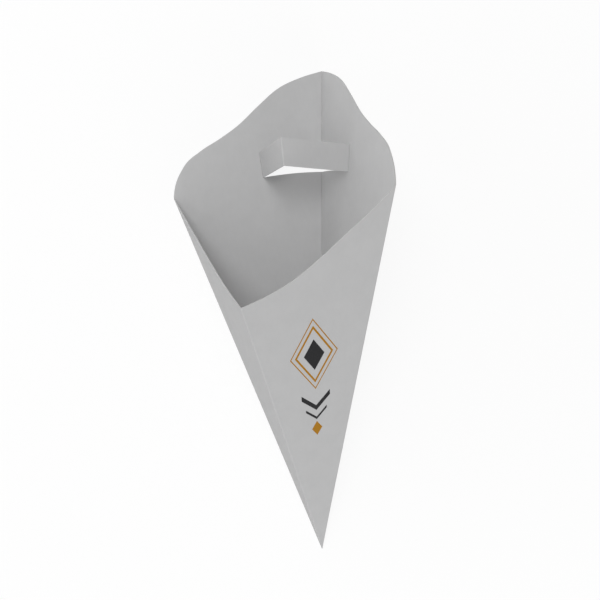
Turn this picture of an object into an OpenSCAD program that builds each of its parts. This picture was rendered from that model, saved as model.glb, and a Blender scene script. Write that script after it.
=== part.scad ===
// Paper cone for fries, folded from one sheet of card.
// Four flat panels share the tip and stand square to each other, round an open mouth.
// The cone lies on its back left panel, with its tip towards -Y and its mouth towards +Y.

/* [Sheet] */
// Length of the back crease, from the tip to the top of the rim
back_length = 250; // [200:1:320]
// Length of the two side creases, from the tip to the rim
side_length = 198; // [160:1:240]
// Length of the front edge, from the tip to the lowest part of the rim
front_length = 158; // [110:1:195]
// Angle of each of the four panels at the tip, in degrees
panel_angle = 22.5; // [18:0.5:30]
// Thickness of the card
card = 0.4; // [0.3:0.05:0.8]

/* [Sauce pocket] */
// Card left between the rim and the ends of the upper cut
pocket_margin = 20.3; // [10:0.1:40]
// Width of the strip between its two straight edges
strip_width = 12.6; // [8:0.1:25]
// Angle that the strip covers on each side of the back crease, in degrees
strip_angle = 9.1; // [6:0.1:13]
// How much lower the strip's edges end than they cross its fold
strip_dip = 3.5; // [0:0.1:6]
// Width of the slot below the strip at the back crease, which closes towards its ends
slot_width = 1.8; // [0:0.1:4]

/* [Glue flap] */
// Width of the flap, which is glued inside the front left panel
flap_width = 10; // [6:0.5:14]
// Distance from the tip to the lower end of the flap
flap_start = 40; // [35:1:80]
// Distance from the upper end of the flap to the rim
flap_margin = 6; // [2:0.5:20]

/* [Hidden] */

// Straight pieces in the rim of a front panel, in the rim beside the strip and in each half of the slot
front_steps = 32;
beside_steps = 20;
cut_steps = 12;

// Height of the rim at even steps across a back panel, from the back crease to the side crease.
// The first and the last share lie a step past those creases, where they set the slope of the rim.
back_rim_shares = [1.08, 1, 0.919, 0.817, 0.659, 0.507, 0.408, 0.337, 0.240, 0, -0.58];
// Height of the rim at even steps across a front panel, from the side crease to the front edge,
// with a share past each of them too
front_rim_shares = [1.25, 1, 0.750, 0.545, 0.365, 0.217, 0.109, 0.043, 0.009, 0, 0.009];

// The tip is blunt, and solid where the four thicknesses of card close on each other
tip_card_share = 2;
tip = tip_card_share * card;
// Depth of the flap's glued face in the panel behind it
glue_card_share = 0.1;
glue_depth = glue_card_share * card;

// Directions of the four creases from the tip, with the back left panel lying flat
half_angle = panel_angle / 2;
top_y = (1 - 3 * pow(sin(half_angle), 2)) / cos(half_angle);
top_z = sqrt(pow(cos(half_angle), 2) - pow(top_y, 2));
left = [-sin(half_angle), cos(half_angle), 0];
back = [sin(half_angle), cos(half_angle), 0];
right = [sin(half_angle), top_y, top_z];
front = [-sin(half_angle), top_y, top_z];

// Directions of the strip's two ends and of the fold along its middle
strip_left = between(back, left, panel_angle, strip_angle);
strip_right = between(back, right, panel_angle, strip_angle);
strip_fold = mirrored(back, cross(strip_left, strip_right));

// Directions straight in from the outer face of each flat part of the sheet
back_left_in = inward(left, back);
back_right_in = inward(back, right);
front_right_in = inward(right, front);
front_left_in = inward(front, left);
strip_left_in = inward(strip_left, strip_fold);
strip_right_in = inward(strip_fold, strip_right);

// Inner end of the hollow, where the inner faces of the four panels meet
axis = unit(left + right);
tip_inside = axis * card / (axis * back_left_in);

// Radius of the strip's two edges at its ends and at its fold, and of the slot at the back crease
strip_end_top = rim(strip_angle) - pocket_margin;
strip_end_base = strip_end_top - strip_width;
strip_top = strip_end_top + strip_dip;
strip_base = strip_end_base + strip_dip;
slot_base = strip_base - slot_width;

// Middle of the lying cone, in plan
middle_x = (back_length - side_length) * sin(half_angle) / 2;
middle_y = (back_length * cos(half_angle) + tip * top_y) / 2;

function unit(v) = v / norm(v);
function mirrored(v, normal) = v - 2 * (v * normal) / (normal * normal) * normal;
function reversed(list) = [for (i = [len(list) - 1 : -1 : 0]) list[i]];
function last(list) = list[len(list) - 1];
function inward(first, second) = unit(cross(second, first));

// Direction at an angle from the first direction, in the plane that it spans with the second
function between(first, second, whole, angle) =
    first * (sin(whole - angle) / sin(whole)) + second * (sin(angle) / sin(whole));

// Height at a place across a panel, from 0 to 1, as a smooth curve through the shares of a rim
function height_share(shares, place) =
    let (
        steps = len(shares) - 3,
        i = min(floor(place * steps), steps - 1),
        t = place * steps - i,
        a = shares[i],
        b = shares[i + 1],
        c = shares[i + 2],
        d = shares[i + 3]
    )
    b + t / 2 * (c - a + t * (2 * a - 5 * b + 4 * c - d + t * (3 * b - a - 3 * c + d)));

// Radius of the rim at an angle from the back crease in the flat sheet
function rim(angle) =
    angle <= panel_angle
    ? side_length + (back_length - side_length) * height_share(back_rim_shares, angle / panel_angle)
    : front_length + (side_length - front_length) * height_share(front_rim_shares, angle / panel_angle - 1);

// Radius of the slot's lower edge at an angle from the back crease
function slot_edge(angle) = slot_base + (strip_end_base - slot_base) * angle / strip_angle;

// Corner of the card: a point on its outer face, and the point behind it on its inner face,
// which is mitred where two flat parts meet
function corner(point, in_a, in_b) = [point, point + card * (in_a + in_b) / (1 + in_a * in_b)];

// Corner at the tip of a panel
function tip_corner(crease) = [tip * crease, tip_inside];

// Directions in from the faces that meet at each corner of a run
function beside(i, steps, first_in, panel_in, last_in) =
    i == 0 ? first_in : i == steps ? last_in : panel_in;

// Corners along the slot's lower edge, from the back crease to a corner at the strip's end
function slot_run(strip_end, last, first_in, panel_in) = [
    for (i = [0 : cut_steps])
        let (
            angle = strip_angle * i / cut_steps,
            point = slot_edge(angle) * between(back, strip_end, strip_angle, angle)
        )
        i == cut_steps ? last : corner(point, panel_in, i == 0 ? first_in : panel_in)
];

// Corners along the rim of a back panel, between two angles from the back crease
function back_run(side, from, to, steps, first_in, panel_in, last_in) = [
    for (i = [0 : steps])
        let (
            angle = from + (to - from) * i / steps,
            point = rim(angle) * between(back, side, panel_angle, angle)
        )
        corner(point, panel_in, beside(i, steps, first_in, panel_in, last_in))
];

// Corners along the rim of a front panel, from its side crease to the front edge
function front_run(side, first_in, panel_in, last_in) = [
    for (i = [0 : front_steps])
        let (
            angle = panel_angle * i / front_steps,
            point = rim(panel_angle + angle) * between(side, front, panel_angle, angle)
        )
        corner(point, panel_in, beside(i, front_steps, first_in, panel_in, last_in))
];

// Corners along a straight line on a flat panel, between two corners
function line_run(first, last, steps, panel_in) = [
    for (i = [0 : steps])
        i == 0 ? first
        : i == steps ? last
        : corner(first[0] + (last[0] - first[0]) * i / steps, panel_in, panel_in)
];

// Points of a face, without any that repeat the one before
function distinct(points) = [
    for (i = [0 : len(points) - 1])
        if (points[i] != points[(i + 1) % len(points)]) points[i]
];

// Both faces of a flat part of the card, from its corners in clockwise order seen from inside
function both_faces(corners) = [
    distinct([for (c = reversed(corners)) c[0]]),
    distinct([for (c = corners) c[1]])
];

// Both faces of the card between two runs of corners that go right, seen from inside
function band(lower, upper) = [
    for (i = [0 : len(lower) - 2])
        each both_faces([lower[i], upper[i], upper[i + 1], lower[i + 1]])
];

// Cut edge of the card, along an upper edge that goes right, seen from inside
function edge(corners) = [
    for (i = [0 : len(corners) - 2])
        [corners[i + 1][1], corners[i][1], corners[i][0], corners[i + 1][0]]
];

// Half of the sheet on one side of the back crease: a back panel, a front panel and half of the strip.
// The last three directions belong to the other half.
function half_sheet(
    side, strip_end, back_in, front_in, strip_in, other_back_in, other_front_in, other_strip_in
) =
    let (
        end_base = corner(strip_end_base * strip_end, strip_in, back_in),
        end_top = corner(strip_end_top * strip_end, strip_in, back_in),
        crease_top = corner(strip_top * back, back_in, other_back_in),
        base_strip = [corner(strip_base * strip_fold, strip_in, other_strip_in), end_base],
        top_strip = [corner(strip_top * strip_fold, strip_in, other_strip_in), end_top],
        base_cut = slot_run(strip_end, end_base, other_back_in, back_in),
        top_cut = line_run(crease_top, end_top, cut_steps, back_in),
        rim_above = back_run(side, 0, strip_angle, cut_steps, other_back_in, back_in, back_in),
        rim_beside = back_run(side, strip_angle, panel_angle, beside_steps, back_in, back_in, front_in),
        rim_front = front_run(side, back_in, front_in, other_front_in),
        waist = line_run(end_base, last(rim_beside), beside_steps, back_in),
        shoulder = line_run(end_top, last(rim_beside), beside_steps, back_in)
    )
    concat(
        both_faces(concat([tip_corner(back)], base_cut, waist, [tip_corner(side)])),
        band(waist, shoulder),
        band(shoulder, rim_beside),
        band(top_cut, rim_above),
        band(base_strip, top_strip),
        both_faces(concat([tip_corner(side)], rim_front, [tip_corner(front)])),
        edge(rim_above),
        edge(rim_beside),
        edge(rim_front),
        edge(base_cut),
        edge(reversed(top_cut)),
        edge(top_strip),
        edge(reversed(base_strip))
    );

// Face seen from its other side, with the same first point
function turned(face) = [for (i = [0 : len(face) - 1]) face[(len(face) - i) % len(face)]];

// Solid inside a closed set of faces, each a list of points
module closed_solid(faces) {
    polyhedron(
        points = [for (face = faces) each face],
        faces = [
            for (i = 0, start = 0; i < len(faces); start = start + len(faces[i]), i = i + 1)
                [for (j = [0 : len(faces[i]) - 1]) start + j]
        ]
    );
}

// The four panels and the strip
module folded_sheet() {
    right_half = half_sheet(
        right, strip_right,
        back_right_in, front_right_in, strip_right_in,
        back_left_in, front_left_in, strip_left_in
    );
    left_half = half_sheet(
        left, strip_left,
        back_left_in, front_left_in, strip_left_in,
        back_right_in, front_right_in, strip_right_in
    );
    tip_face = [for (crease = [back, left, front, right]) tip * crease];
    closed_solid(concat(right_half, [for (face = left_half) turned(face)], [tip_face]));
}

// Flap past the front edge of the front right panel, inside the front left panel, with slanted ends
module glue_flap() {
    across = unit(left - front * (left * front));
    flap_end = front_length - flap_margin;
    root = card / 2;
    outline = [
        [root, flap_start],
        [root, flap_end],
        [flap_width, flap_end - flap_width],
        [flap_width, flap_start + flap_width]
    ];
    corners = [
        for (point = outline)
            let (base = point[0] * across + point[1] * front)
            [base + (card - glue_depth) * front_left_in, base + 2 * card * front_left_in]
    ];
    closed_solid(concat(both_faces(corners), edge(concat(corners, [corners[0]]))));
}

// The whole sheet, folded and glued
module fry_cone() {
    color([0.72, 0.72, 0.72])
        translate([-middle_x, -middle_y, 0])
            union() {
                folded_sheet();
                glue_flap();
            }
}

fry_cone();
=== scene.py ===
"""Looks of the paper fry cone: a folded card mesh over the CAD frame, studio, light and camera."""

import math

import bpy
import numpy as np
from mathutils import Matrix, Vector


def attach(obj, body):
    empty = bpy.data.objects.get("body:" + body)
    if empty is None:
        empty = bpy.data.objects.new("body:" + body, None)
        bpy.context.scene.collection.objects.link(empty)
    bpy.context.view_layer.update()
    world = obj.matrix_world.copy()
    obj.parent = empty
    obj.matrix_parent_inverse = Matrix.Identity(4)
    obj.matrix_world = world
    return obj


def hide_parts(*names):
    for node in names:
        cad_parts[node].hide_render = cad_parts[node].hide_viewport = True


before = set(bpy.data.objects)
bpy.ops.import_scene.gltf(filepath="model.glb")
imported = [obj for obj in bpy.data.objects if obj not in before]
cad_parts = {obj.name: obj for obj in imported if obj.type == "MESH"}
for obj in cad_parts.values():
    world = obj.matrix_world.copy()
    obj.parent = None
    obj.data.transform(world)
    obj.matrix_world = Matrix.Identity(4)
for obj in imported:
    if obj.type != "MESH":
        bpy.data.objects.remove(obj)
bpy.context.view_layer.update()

scene = bpy.context.scene
scene.view_settings.view_transform = "Standard"

# Sizes of the sheet in millimetres and its angles in radians, as in the part's source
MM = 0.001
BACK_LENGTH, SIDE_LENGTH, FRONT_LENGTH = 250.0, 198.0, 158.0
PANEL, STRIP = math.radians(22.5), math.radians(9.1)
CARD = 0.4
TIP = 2 * CARD
POCKET_MARGIN, STRIP_WIDTH, STRIP_DIP, SLOT_WIDTH = 20.3, 12.6, 3.5, 1.8
FLAP_WIDTH, FLAP_START, FLAP_MARGIN, GLUE_DEPTH = 10.0, 40.0, 6.0, 0.04
BACK_RIM_SHARES = [1.08, 1, 0.919, 0.817, 0.659, 0.507, 0.408, 0.337, 0.240, 0, -0.58]
FRONT_RIM_SHARES = [1.25, 1, 0.750, 0.545, 0.365, 0.217, 0.109, 0.043, 0.009, 0, 0.009]

# Half the width of a fold's rounded bend on the outer face, the share of it that is left where the fold
# goes in and that face is the tight one, and the widest angle that half a bend takes up near the tip
BEND = 0.45
FOLD_IN = (BEND - CARD) / BEND
WIDEST_BEND = PANEL / 8

# Radius where the hollow starts, and width of the handled band along the rim
HOLLOW_START, EDGE_BAND = 4.0, 1.2

# Columns of the mesh across each stretch of the sheet, and its rows as shares of the way from the tip to the
# pocket's base, on to its top and on to the handled band. The tip, the start of the hollow and the rim have
# a row each besides.
BEND_STEPS, FRONT_STEPS, BESIDE_STEPS, ABOVE_STEPS, STRIP_STEPS = 6, 64, 40, 24, 24
LOWER_ROWS = [0.15, 0.3, 0.45, 0.6, 0.75, 0.9, 1.0]
MIDDLE_ROWS = [0.05, 0.35, 0.65, 0.95, 1.0]
UPPER_ROWS = [0.35, 0.7, 1.0]
BASE_ROW = 1 + len(LOWER_ROWS)
TOP_ROW = BASE_ROW + len(MIDDLE_ROWS)
RIM_ROW = TOP_ROW + len(UPPER_ROWS) + 1

# Passes that find the rim on a column, room for rounding at a bend's ends, and angle of a sharp edge
RIM_PASSES = 5
ROUNDING = 1e-6
SHARP_ANGLE = math.radians(35)

# Material slots of the mesh
OUTSIDE, INSIDE, CUT_EDGE = 0, 1, 2

# Colours, as linear values
CARD_DARK, CARD_PALE = (0.476, 0.476, 0.478), (0.504, 0.504, 0.506)
# The second colour on the next line is painted shade for the valleys of folds
CARD_WORN, CARD_PAINTED_SHADE = (0.58, 0.58, 0.58), (0.28, 0.28, 0.28)
EDGE_DARK, EDGE_PALE = (0.37, 0.37, 0.366), (0.45, 0.45, 0.446)
AMBER = (0.355, 0.161, 0.003)
CHARCOAL = (0.008, 0.008, 0.009)
FLOOR_WHITE, WORLD_WHITE = (0.9, 0.9, 0.9), (1.0, 1.0, 1.0)

# Roughness and specular level
CARD_ROUGHNESS, INK_ROUGHNESS, EDGE_ROUGHNESS, FLOOR_ROUGHNESS = (0.68, 0.82), 0.5, 0.9, 0.9
CARD_SPECULAR, EDGE_SPECULAR = 0.15, 0.2

# Noise of the card: features per metre and detail, then the stretch of its fibres and the ranges in use
MOTTLE, FIBRE, GRAIN, EDGE_FIBRE = (130.0, 4.0), (700.0, 6.0), (2600.0, 3.0), (2600.0, 5.0)
NOISE_ROUGHNESS = 0.6
FIBRE_STRETCH = (1.0, 0.3, 1.0)
NOISE_RANGE, BROKEN_RANGE = (0.3, 0.7), (0.42, 0.62)

# Shares of mottle and fibre in the card's cloudiness, and of fibre and grain in its relief
CLOUD_SHARES, RELIEF_SHARES = (0.65, 0.35), (0.6, 0.4)
# Strength and depth in metres of the relief
CARD_BUMP, EDGE_BUMP = (0.25, 0.00006), (0.5, 0.00008)
# Shares of the pale rubbed colour on ridges and at the rim, and of the painted shade colour that darkens the
# valleys of folds
RIDGE_WEAR, RIM_WEAR, VALLEY_PAINTED_SHADE = 0.1, 0.08, 0.6
# How well the ink covers, over a range of the grain
INK_GRAIN, INK_COVER = (0.25, 0.4), (0.95, 1.0)

# Print on the front right panel in millimetres. Each shape starts with its distance from the tip. A diamond
# goes on with half its length and half its width, and its stroke if it is an outline, and a chevron with
# half its width and the height of its bar. The card is printed only as deep as the ink.
AMBER_OUTLINES = [(124.0, 14.0, 8.6, 0.9), (124.0, 18.0, 11.1, 0.5)]
AMBER_DIAMOND, DARK_DIAMOND = (83.0, 4.2, 2.6), (124.0, 8.0, 4.9)
DARK_CHEVRONS = [(95.0, 7.0, 2.8), (89.0, 5.2, 1.5)]
INK_DEPTH = CARD / 4

# Floor in metres: half its size and its height, and the share of its white glow near the object and far off
FLOOR_HALF, FLOOR_Z = 3.0, -0.00005
NEAR_REACH, FAR_REACH = 0.14, 0.5
NEAR_GLOW, FAR_GLOW = 0.85, 1.0

# Strength of the world's light, and of its white where it is seen
WORLD_LIGHT, WORLD_SEEN = 0.385, 1.0
SEEN_RAYS = ("Is Camera Ray", "Is Glossy Ray", "Is Transmission Ray")

# Lamps: angle round from +Y and angle up in degrees, distance in metres and power in watts.
# All face one point, and their width is a share of their distance.
LAMPS = {
    "key": (-45, 60, 1.2, 6.6),
    "mouth_fill": (-20, 20, 1.2, 3.3),
    "left_fill": (-90, 25, 1.2, 1.5),
    "tip_fill": (180, 35, 0.7, 1.35),
}
LAMP_TARGET = Vector((0.0, 0.03, 0.03))
LAMP_WIDTH_SHARE = 0.67

# Camera: place in metres, turn in degrees, lens and sensor in millimetres, and nearest distance in metres
CAMERA_PLACE = (-0.0901, 0.0482, 0.305)
CAMERA_TURN = (-3.142, -18.93, -11.38)
CAMERA_LENS, CAMERA_SENSOR = 37.672, 36.0
CAMERA_NEAR = 0.01


def unit(vector):
    return vector / np.linalg.norm(vector)


def between(first, second, whole, angle):
    """Direction at an angle from the first direction, in the plane that it spans with the second."""
    return (math.sin(whole - angle) * first + math.sin(angle) * second) / math.sin(whole)


def inward(first, second):
    """Direction straight in from the outer face of a flat part, from the directions of its two sides."""
    return unit(np.cross(second, first))


# Directions of the four creases from the tip, with the back left panel lying flat
sin_half, cos_half = math.sin(PANEL / 2), math.cos(PANEL / 2)
top_y = (1 - 3 * sin_half**2) / cos_half
top_z = math.sqrt(cos_half**2 - top_y**2)
left = np.array([-sin_half, cos_half, 0.0])
back = np.array([sin_half, cos_half, 0.0])
right = np.array([sin_half, top_y, top_z])
front = np.array([-sin_half, top_y, top_z])
axis = unit(left + right)

# Middle of the lying cone in plan, which is the frame's origin, measured from the tip
sheet_middle = np.array(
    [(BACK_LENGTH - SIDE_LENGTH) * sin_half / 2, (BACK_LENGTH * cos_half + TIP * top_y) / 2, 0.0]
)

# Directions of the strip's two ends and of the fold along its middle, which mirrors the back crease
strip_left = between(back, left, PANEL, STRIP)
strip_right = between(back, right, PANEL, STRIP)
across_strip = unit(np.cross(strip_left, strip_right))
strip_fold = back - 2 * (back @ across_strip) * across_strip

# Directions straight in from the outer face of each flat part of the sheet
back_left_in, back_right_in = inward(left, back), inward(back, right)
front_right_in, front_left_in = inward(right, front), inward(front, left)
strip_left_in, strip_right_in = inward(strip_left, strip_fold), inward(strip_fold, strip_right)

# Folds across the walls and across the strip: angle in the flat sheet, direction, and width of the bend
# as a share, less than 0 where it goes in. Then the directions in from the flat parts before, between and
# after the folds.
WALL_FOLDS = [
    (-2 * PANEL, front, 1),
    (-PANEL, left, 1),
    (0.0, back, 1),
    (PANEL, right, 1),
    (2 * PANEL, front, 1),
]
WALL_PARTS = [front_right_in, front_left_in, back_left_in, back_right_in, front_right_in, front_left_in]
STRIP_FOLDS = [(-STRIP, strip_left, 1), (0.0, strip_fold, -FOLD_IN), (STRIP, strip_right, 1)]
STRIP_PARTS = [back_left_in, strip_left_in, strip_right_in, back_right_in]


def both_sides(half):
    """Marks between groups of columns, and the columns in each group, from those of the right half.
    A mark is an angle in the flat sheet and how many bend widths to add to it."""
    steps = [count for _, _, count in half]
    marks = [(-at, -bends) for at, bends, _ in half] + [(at, bends) for at, bends, _ in half[::-1]]
    return marks, steps + steps[-2::-1]


# Right half of the walls and of the strip, from its end to its middle, with narrow columns beside the folds
WALL_MARKS, WALL_STEPS = both_sides(
    [
        (2 * PANEL, 0, BEND_STEPS // 2),
        (2 * PANEL, -1, 1),
        (2 * PANEL, -2, FRONT_STEPS),
        (PANEL, 2, 1),
        (PANEL, 1, BEND_STEPS),
        (PANEL, -1, 1),
        (PANEL, -2, BESIDE_STEPS),
        (STRIP, 2, 1),
        (STRIP, 1, ABOVE_STEPS),
        (0.0, 2, 1),
        (0.0, 1, BEND_STEPS),
    ]
)
STRIP_MARKS, STRIP_COLUMN_STEPS = both_sides(
    [
        (STRIP, 1, BEND_STEPS),
        (STRIP, -1, 1),
        (STRIP, -2, STRIP_STEPS),
        (0.0, 1 + FOLD_IN, 1),
        (0.0, FOLD_IN, BEND_STEPS),
    ]
)
LEFT_MARK, RIGHT_MARK = WALL_MARKS.index((-STRIP, -1)), WALL_MARKS.index((STRIP, 1))


def height_share(shares, place):
    """Height at a place across a panel, from 0 to 1, as a smooth curve through the shares of a rim."""
    steps = len(shares) - 3
    i = min(int(place * steps), steps - 1)
    t = place * steps - i
    a, b, c, d = shares[i : i + 4]
    return b + t / 2 * (c - a + t * (2 * a - 5 * b + 4 * c - d + t * (3 * b - a - 3 * c + d)))


def rim(angle):
    """Radius of the rim at an angle from the back crease in the flat sheet."""
    place = abs(angle) / PANEL
    if place <= 1:
        return SIDE_LENGTH + (BACK_LENGTH - SIDE_LENGTH) * height_share(BACK_RIM_SHARES, place)
    return FRONT_LENGTH + (SIDE_LENGTH - FRONT_LENGTH) * height_share(FRONT_RIM_SHARES, place - 1)


# Radius of the strip's two edges at its ends, and of the slot at the back crease
strip_end_top = rim(STRIP) - POCKET_MARGIN
strip_end_base = strip_end_top - STRIP_WIDTH
slot_base = strip_end_base + STRIP_DIP - SLOT_WIDTH


def strip_edge(end, angle):
    """Radius of a straight edge of the strip at an angle from its fold, from the radius of its end."""
    middle = end + STRIP_DIP
    return middle * end * math.sin(STRIP) / (middle * math.sin(angle) + end * math.sin(STRIP - angle))


def slot_edge(angle):
    """Radius of the slot's lower edge at an angle from the back crease."""
    return slot_base + (strip_end_base - slot_base) * angle / STRIP


def bend_angle(radius):
    """Angle in the flat sheet of half a bend, at a radius."""
    return min(BEND / radius, WIDEST_BEND)


def folded(angle, radius, folds, parts):
    """Point on the outer face, direction in from it, and its place on a fold: 1 on the ridge of one that
    stands out, -1 in the valley of one that goes in, half of that at its sides and 0 beside it."""
    for i, (at, crease, width) in enumerate(folds):
        half_bend = abs(width) * bend_angle(radius)
        share = (angle - at) / half_bend
        if abs(share) <= 1 + ROUNDING:
            first_in, second_in = parts[i], parts[i + 1]
            turn = math.acos(first_in @ second_in)
            here_in = between(first_in, second_in, turn, turn * (share + 1) / 2)
            bend_radius = math.copysign(radius * math.sin(half_bend) / math.tan(turn / 2), width)
            middle = (first_in + second_in) / (1 + first_in @ second_in)
            point = radius * math.cos(half_bend) * crease + bend_radius * (middle - here_in)
            return point, here_in, math.copysign(1 - abs(share) / 2, width)
    i = sum(angle > at for at, _, _ in folds)
    (at, first, _), (end, second, _) = folds[i - 1], folds[i]
    return radius * between(first, second, end - at, angle - at), parts[i], 0.0


def columns(steps):
    """Every column as its group and its share of the way across the group."""
    made = [(group, k / count) for group, count in enumerate(steps) for k in range(count)]
    return made + [(len(steps) - 1, 1.0)]


def column_angle(column, marks, radius):
    """Angle of a column in the flat sheet, at a radius."""
    group, share = column
    low, high = (at + bends * bend_angle(radius) for at, bends in marks[group : group + 2])
    return low + share * (high - low)


def wall_radii(column, in_pocket):
    """Radius of each row of a column of the walls, from the blunt tip to the rim."""
    end = SIDE_LENGTH
    for _ in range(RIM_PASSES):
        end = rim(column_angle(column, WALL_MARKS, end))
    angle = abs(column_angle(column, WALL_MARKS, strip_end_base))
    base, top = slot_edge(angle), strip_edge(strip_end_top, angle)
    if not in_pocket:
        base, top = (radius * end / rim(STRIP) for radius in (strip_end_base, strip_end_top))
    below_rim = end - EDGE_BAND
    return (
        [TIP, HOLLOW_START]
        + [base * share for share in LOWER_ROWS]
        + [base + (top - base) * share for share in MIDDLE_ROWS]
        + [top + (below_rim - top) * share for share in UPPER_ROWS]
        + [end]
    )


class CardMesh:
    """Points of the card with their wear, and its faces with their material slots."""

    def __init__(self):
        self.points, self.ridges, self.edge_wear = [], [], []
        self.faces, self.slots = [], []

    def add_point(self, point, ridge=0.0, edge=0.0):
        self.points.append(point)
        self.ridges.append(ridge)
        self.edge_wear.append(edge)
        return len(self.points) - 1

    def add_corner(self, angle, radius, folds, parts, edge=0.0):
        """A point on the outer face and the one behind it on the inner face."""
        point, here_in, ridge = folded(angle, radius, folds, parts)
        return self.add_point(point, ridge, edge), self.add_point(point + CARD * here_in, -ridge, edge)

    def add_face(self, corners, slot):
        self.faces.append(corners)
        self.slots.append(slot)

    def add_both_faces(self, a, b, c, d):
        """Both faces of the card, from corners that run counter-clockwise seen from inside."""
        self.add_face([a[1], b[1], c[1], d[1]], INSIDE)
        self.add_face([d[0], c[0], b[0], a[0]], OUTSIDE)

    def add_cut_edge(self, run):
        """Cut edge of the card along an upper edge that goes right, seen from inside."""
        for a, b in zip(run, run[1:]):
            self.add_face([a[1], b[1], b[0], a[0]], CUT_EDGE)

    def make_object(self, name):
        """The finished piece, in metres round the frame's origin."""
        mesh = bpy.data.meshes.new(name)
        mesh.from_pydata([tuple((point - sheet_middle) * MM) for point in self.points], [], self.faces)
        mesh.polygons.foreach_set("material_index", self.slots)
        mesh.polygons.foreach_set("use_smooth", [True] * len(self.faces))
        for wear, values in (("ridge", self.ridges), ("edge_wear", self.edge_wear)):
            mesh.attributes.new(wear, "FLOAT", "POINT").data.foreach_set("value", values)
        mesh.set_sharp_from_angle(angle=SHARP_ANGLE)
        mesh.validate()
        mesh.update()
        piece = bpy.data.objects.new(name, mesh)
        scene.collection.objects.link(piece)
        return piece


def add_wall_corners(sheet, ring, first, last):
    """Rows of corners round the four panels, with none inside the pocket, between its first and last column.
    The blunt tip has outer points alone."""
    rows = [[] for _ in range(RIM_ROW + 1)]
    for j, column in enumerate(ring):
        for i, radius in enumerate(wall_radii(column, first <= j <= last)):
            angle = column_angle(column, WALL_MARKS, radius)
            if i == 0:
                corner = sheet.add_point(folded(angle, radius, WALL_FOLDS, WALL_PARTS)[0]), None
            elif first < j < last and BASE_ROW < i < TOP_ROW:
                corner = None
            elif j in (first, last) and BASE_ROW < i < TOP_ROW:
                corner = sheet.add_corner(angle, radius, STRIP_FOLDS, STRIP_PARTS)
            else:
                corner = sheet.add_corner(angle, radius, WALL_FOLDS, WALL_PARTS, float(i == RIM_ROW))
            rows[i].append(corner)
    return rows


def close_tip(sheet, rows):
    """Outer faces from the blunt tip to the row where the hollow starts, and inner faces from that row to
    the point where the inner faces of the four panels meet."""
    tip_out = sheet.add_point(np.mean([sheet.points[corner[0]] for corner in rows[0]], axis=0))
    tip_in = sheet.add_point(axis * CARD / (axis @ back_left_in))
    for j in range(len(rows[0])):
        k = (j + 1) % len(rows[0])
        sheet.add_face([rows[0][j][0], rows[0][k][0], tip_out], OUTSIDE)
        sheet.add_face([rows[1][j][0], rows[1][k][0], rows[0][k][0], rows[0][j][0]], OUTSIDE)
        sheet.add_face([tip_in, rows[1][k][1], rows[1][j][1]], INSIDE)


def build_walls(sheet):
    """Four panels as one ring of columns, with the pocket left open. Returns the sides of the pocket."""
    ring = columns(WALL_STEPS)[:-1]
    first, last = ring.index((LEFT_MARK, 0.0)), ring.index((RIGHT_MARK, 0.0))
    rows = add_wall_corners(sheet, ring, first, last)
    close_tip(sheet, rows)
    for j in range(len(ring)):
        k = (j + 1) % len(ring)
        for i in range(1, RIM_ROW):
            if not (BASE_ROW <= i < TOP_ROW and first <= j < last):
                sheet.add_both_faces(rows[i][j], rows[i][k], rows[i + 1][k], rows[i + 1][j])
    sheet.add_cut_edge(rows[RIM_ROW] + rows[RIM_ROW][:1])
    sheet.add_cut_edge(rows[BASE_ROW][first : last + 1])
    sheet.add_cut_edge(rows[TOP_ROW][first : last + 1][::-1])
    return [(row[first], row[last]) for row in rows[BASE_ROW : TOP_ROW + 1]]


def build_strip(sheet, sides):
    """The strip of the pocket, folded the other way, between the two sides of the pocket."""
    middle = columns(STRIP_COLUMN_STEPS)[1:-1]
    strip = []
    for share, (left_corner, right_corner) in zip([0.0] + MIDDLE_ROWS, sides):
        run = [left_corner]
        for column in middle:
            base_angle = abs(column_angle(column, STRIP_MARKS, strip_end_base))
            base, top = (strip_edge(end, base_angle) for end in (strip_end_base, strip_end_top))
            radius = base + (top - base) * share
            angle = column_angle(column, STRIP_MARKS, radius)
            run.append(sheet.add_corner(angle, radius, STRIP_FOLDS, STRIP_PARTS))
        run.append(right_corner)
        strip.append(run)
    for low, high in zip(strip, strip[1:]):
        for j in range(len(low) - 1):
            sheet.add_both_faces(low[j], low[j + 1], high[j + 1], high[j])
    sheet.add_cut_edge(strip[-1])
    sheet.add_cut_edge(strip[0][::-1])


def build_flap(sheet):
    """The glue flap inside the front left panel, with slanted ends."""
    across = unit(left - front * (left @ front))
    end = FRONT_LENGTH - FLAP_MARGIN
    outline = [
        (CARD, FLAP_START),
        (FLAP_WIDTH, FLAP_START + FLAP_WIDTH),
        (FLAP_WIDTH, end - FLAP_WIDTH),
        (CARD, end),
    ]
    ring = []
    for x, y in outline:
        base = x * across + y * front
        outer = sheet.add_point(base + (CARD - GLUE_DEPTH) * front_left_in)
        inner = sheet.add_point(base + 2 * CARD * front_left_in)
        ring.append((outer, inner))
    sheet.add_both_faces(*ring)
    sheet.add_cut_edge((ring + ring[:1])[::-1])


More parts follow.
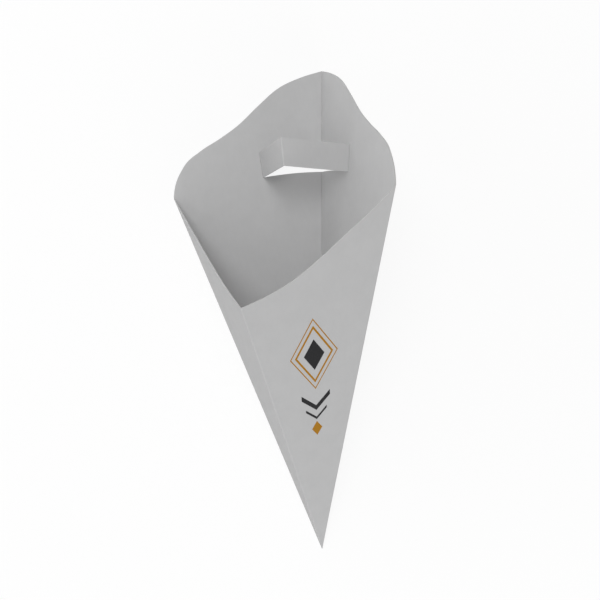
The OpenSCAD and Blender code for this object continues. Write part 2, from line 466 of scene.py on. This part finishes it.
class Nodes:
    """Short calls to build one node tree."""

    def __init__(self, tree):
        self.tree = tree

    def put(self, socket, value):
        """Links a socket to another, or sets its value."""
        if isinstance(value, bpy.types.NodeSocket):
            self.tree.links.new(value, socket)
        elif socket.type == "RGBA":
            socket.default_value = (*value, 1)
        else:
            socket.default_value = value

    def fill(self, node, inputs):
        for key, value in inputs.items():
            self.put(node.inputs[key], value)
        return node

    def add(self, kind, inputs=None, **settings):
        node = self.tree.nodes.new(kind)
        for key, value in settings.items():
            setattr(node, key, value)
        return self.fill(node, inputs or {})

    def calc(self, operation, *values):
        return self.add("ShaderNodeMath", dict(enumerate(values)), operation=operation).outputs[0]

    def dot(self, vector, direction):
        inputs = {0: vector, 1: tuple(float(x) for x in direction)}
        return self.add("ShaderNodeVectorMath", inputs, operation="DOT_PRODUCT").outputs["Value"]

    def weighted(self, first, second, shares):
        """Sum of two values, each times its share."""
        parts = [self.calc("MULTIPLY", value, share) for value, share in zip((first, second), shares)]
        return self.calc("ADD", *parts)

    def any_of(self, masks):
        found = masks[0]
        for mask in masks[1:]:
            found = self.calc("MAXIMUM", found, mask)
        return found

    def mix(self, factor, first, second):
        node = self.add("ShaderNodeMix", data_type="RGBA")
        sockets = {socket.identifier: socket for socket in node.inputs}
        for key, value in (("Factor_Float", factor), ("A_Color", first), ("B_Color", second)):
            self.put(sockets[key], value)
        return next(socket for socket in node.outputs if socket.identifier == "Result_Color")

    def noise(self, vector, scale, detail):
        inputs = {"Vector": vector, "Scale": scale, "Detail": detail, "Roughness": NOISE_ROUGHNESS}
        return self.add("ShaderNodeTexNoise", inputs).outputs[0]

    def spread(self, value, low, high, to_low=0.0, to_high=1.0):
        names = ("Value", "From Min", "From Max", "To Min", "To Max")
        inputs = dict(zip(names, (value, low, high, to_low, to_high)))
        return self.add("ShaderNodeMapRange", inputs).outputs[0]

    def bump(self, height, strength, depth):
        inputs = {"Height": height, "Strength": strength, "Distance": depth}
        return self.add("ShaderNodeBump", inputs).outputs[0]

    def place(self):
        return self.add("ShaderNodeTexCoord").outputs["Object"]

    def stretched(self, vector, scale):
        return self.add("ShaderNodeMapping", {"Vector": vector, "Scale": scale}).outputs[0]

    def attribute(self, name):
        return self.add("ShaderNodeAttribute", attribute_name=name).outputs["Fac"]

    def seen(self):
        """1 for rays from the camera, in gloss and through clear things, and 0 for the light that falls."""
        path = self.add("ShaderNodeLightPath")
        return self.any_of([path.outputs[name] for name in SEEN_RAYS])


def new_material(name):
    """A material, the calls for its nodes, and its shader."""
    material = bpy.data.materials.new(name)
    material.use_nodes = True
    return material, Nodes(material.node_tree), material.node_tree.nodes["Principled BSDF"]


class Print:
    """Shapes printed on the front right panel's outer face, as masks. They are set out in millimetres:
    up is the distance from the tip along the panel's middle, and over the distance from that middle line."""

    def __init__(self, nodes, place):
        self.nodes = nodes
        inputs = {0: place, 1: tuple(-sheet_middle * MM)}
        from_tip = nodes.add("ShaderNodeVectorMath", inputs, operation="SUBTRACT").outputs[0]
        self.up = self.distance(from_tip, unit(right + front))
        self.over = nodes.calc("ABSOLUTE", self.distance(from_tip, unit(right - front)))
        depth = nodes.calc("ABSOLUTE", self.distance(from_tip, front_right_in))
        self.on_face = nodes.calc("LESS_THAN", depth, INK_DEPTH)

    def distance(self, from_tip, direction):
        return self.nodes.calc("MULTIPLY", self.nodes.dot(from_tip, direction), 1 / MM)

    def diamond(self, at, half_up, half_over):
        """How far a place lies from a diamond's middle, as a share of the way to its outline."""
        off = self.nodes.calc("ABSOLUTE", self.nodes.calc("SUBTRACT", self.up, at))
        return self.nodes.weighted(off, self.over, (1 / half_up, 1 / half_over))

    def solid_diamond(self, at, half_up, half_over):
        return self.nodes.calc("LESS_THAN", self.diamond(at, half_up, half_over), 1.0)

    def outlined_diamond(self, at, half_up, half_over, stroke):
        half_stroke = stroke / 2 * math.hypot(half_up, half_over) / (half_up * half_over)
        off = self.nodes.calc("SUBTRACT", self.diamond(at, half_up, half_over), 1.0)
        return self.nodes.calc("LESS_THAN", self.nodes.calc("ABSOLUTE", off), half_stroke)

    def chevron(self, at, half_over, height):
        """Bar that rises at 45 degrees on both sides of the middle line."""
        off = self.nodes.calc("SUBTRACT", self.nodes.calc("SUBTRACT", self.up, at), self.over)
        bar = self.nodes.calc("LESS_THAN", self.nodes.calc("ABSOLUTE", off), height / 2)
        return self.nodes.calc("MULTIPLY", bar, self.nodes.calc("LESS_THAN", self.over, half_over))

    def amber(self):
        outlines = [self.outlined_diamond(*sizes) for sizes in AMBER_OUTLINES]
        shapes = self.nodes.any_of(outlines + [self.solid_diamond(*AMBER_DIAMOND)])
        return self.nodes.calc("MULTIPLY", shapes, self.on_face)

    def dark(self):
        chevrons = [self.chevron(*sizes) for sizes in DARK_CHEVRONS]
        shapes = self.nodes.any_of(chevrons + [self.solid_diamond(*DARK_DIAMOND)])
        return self.nodes.calc("MULTIPLY", shapes, self.on_face)


def worn_and_painted_shade(nodes, colour, broken):
    """Colour that is rubbed pale in places on the ridges of folds and at the rim, with painted shade that
    darkens the valleys of folds."""
    ridge, at_rim = nodes.attribute("ridge"), nodes.attribute("edge_wear")
    ridge_share = nodes.calc("MULTIPLY", nodes.calc("MULTIPLY", ridge, broken), RIDGE_WEAR)
    rim_share = nodes.calc("MULTIPLY", nodes.calc("MULTIPLY", at_rim, broken), RIM_WEAR)
    colour = nodes.mix(nodes.calc("MAXIMUM", ridge_share, rim_share), colour, CARD_WORN)
    # Painted shade: the valleys of folds are darkened, as where a crease lies in shadow
    valley_shade_share = nodes.calc("MAXIMUM", nodes.calc("MULTIPLY", ridge, -VALLEY_PAINTED_SHADE), 0.0)
    return nodes.mix(valley_shade_share, colour, CARD_PAINTED_SHADE)


def inked(nodes, place, grain, colour, rough):
    """Colour and roughness with the print over them."""
    shapes = Print(nodes, place)
    amber, dark = shapes.amber(), shapes.dark()
    cover = nodes.spread(grain, *INK_GRAIN, *INK_COVER)
    colour = nodes.mix(nodes.calc("MULTIPLY", amber, cover), colour, AMBER)
    colour = nodes.mix(nodes.calc("MULTIPLY", dark, cover), colour, CHARCOAL)
    ink = nodes.calc("MAXIMUM", amber, dark)
    bare = nodes.calc("SUBTRACT", 1.0, ink)
    return colour, nodes.weighted(rough, ink, (bare, INK_ROUGHNESS))


def card_material(name, printed):
    """Matt uncoated card: cloudy formation, fibres and a fine grain, with wear, painted shade in the valleys
    of folds and, on one face, print.
    """
    material, nodes, shader = new_material(name)
    place = nodes.place()
    mottle, grain = nodes.noise(place, *MOTTLE), nodes.noise(place, *GRAIN)
    fibre = nodes.noise(nodes.stretched(place, FIBRE_STRETCH), *FIBRE)
    cloud = nodes.weighted(mottle, fibre, CLOUD_SHARES)
    colour = nodes.mix(nodes.spread(cloud, *NOISE_RANGE), CARD_DARK, CARD_PALE)
    colour = worn_and_painted_shade(nodes, colour, nodes.spread(fibre, *BROKEN_RANGE))
    rough = nodes.spread(grain, *NOISE_RANGE, *CARD_ROUGHNESS)
    if printed:
        colour, rough = inked(nodes, place, grain, colour, rough)
    relief = nodes.bump(nodes.weighted(fibre, grain, RELIEF_SHARES), *CARD_BUMP)
    nodes.fill(shader, {"Base Color": colour, "Roughness": rough, "Normal": relief})
    nodes.fill(shader, {"Specular IOR Level": CARD_SPECULAR})
    return material


def edge_material(name):
    """Raw cut edge of the card, with short loose fibres."""
    material, nodes, shader = new_material(name)
    fibre = nodes.noise(nodes.place(), *EDGE_FIBRE)
    colour = nodes.mix(nodes.spread(fibre, *NOISE_RANGE), EDGE_DARK, EDGE_PALE)
    nodes.fill(shader, {"Base Color": colour, "Normal": nodes.bump(fibre, *EDGE_BUMP)})
    nodes.fill(shader, {"Roughness": EDGE_ROUGHNESS, "Specular IOR Level": EDGE_SPECULAR})
    return material


def floor_material(name):
    """White to the eye, with part of the object's shadow near the object."""
    material, nodes, shader = new_material(name)
    nodes.fill(shader, {"Base Color": FLOOR_WHITE, "Roughness": FLOOR_ROUGHNESS})
    glow = nodes.add("ShaderNodeEmission")
    reach = nodes.add("ShaderNodeVectorMath", {0: nodes.place()}, operation="LENGTH").outputs["Value"]
    glow_share = nodes.spread(reach, NEAR_REACH, FAR_REACH, NEAR_GLOW, FAR_GLOW)
    share = nodes.calc("MULTIPLY", nodes.seen(), glow_share)
    blend = nodes.add("ShaderNodeMixShader", {0: share, 1: shader.outputs[0], 2: glow.outputs[0]})
    nodes.fill(nodes.tree.nodes["Material Output"], {"Surface": blend.outputs[0]})
    return material


def add_floor():
    """Plain pale floor just below the object."""
    signs = ((-1, -1), (1, -1), (1, 1), (-1, 1))
    mesh = bpy.data.meshes.new("floor")
    mesh.from_pydata([(x * FLOOR_HALF, y * FLOOR_HALF, FLOOR_Z) for x, y in signs], [], [(0, 1, 2, 3)])
    mesh.materials.append(floor_material("floor"))
    floor = bpy.data.objects.new("floor", mesh)
    scene.collection.objects.link(floor)
    return floor


def light_world():
    """Even soft light from all sides, and white where it is seen."""
    world = bpy.data.worlds.new("studio")
    world.use_nodes = True
    nodes = Nodes(world.node_tree)
    strength = nodes.spread(nodes.seen(), 0.0, 1.0, WORLD_LIGHT, WORLD_SEEN)
    nodes.fill(nodes.tree.nodes["Background"], {"Color": WORLD_WHITE, "Strength": strength})
    scene.world = world


def add_lamp(name, turn, height, distance, power):
    """Round soft lamp that faces the mouth of the cone."""
    turn, height = math.radians(turn), math.radians(height)
    flat = math.cos(height)
    toward = Vector((flat * math.sin(turn), flat * math.cos(turn), math.sin(height)))
    light = bpy.data.lights.new(name, "AREA")
    light.shape = "DISK"
    light.size = LAMP_WIDTH_SHARE * distance
    light.energy = power
    lamp = bpy.data.objects.new(name, light)
    scene.collection.objects.link(lamp)
    lamp.location = LAMP_TARGET + distance * toward
    lamp.rotation_euler = (-toward).to_track_quat("-Z", "Y").to_euler()


def add_camera():
    """Camera that looks down into the mouth of the lying cone."""
    data = bpy.data.cameras.new("camera")
    data.sensor_width = CAMERA_SENSOR
    data.lens = CAMERA_LENS
    data.clip_start = CAMERA_NEAR
    camera = bpy.data.objects.new("camera", data)
    scene.collection.objects.link(camera)
    camera.location = CAMERA_PLACE
    camera.rotation_euler = [math.radians(angle) for angle in CAMERA_TURN]
    scene.camera = camera


# The folded sheet, in the place of its solid
sheet = CardMesh()
build_strip(sheet, build_walls(sheet))
build_flap(sheet)
card = sheet.make_object("fry_cone_card")
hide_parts("fry_cone")
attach(card, "root")
card.data.materials.append(card_material("card_outside", printed=True))
card.data.materials.append(card_material("card_inside", printed=False))
card.data.materials.append(edge_material("card_edge"))

# The studio
floor = add_floor()
light_world()
for name, setting in LAMPS.items():
    add_lamp(name, *setting)
add_camera()
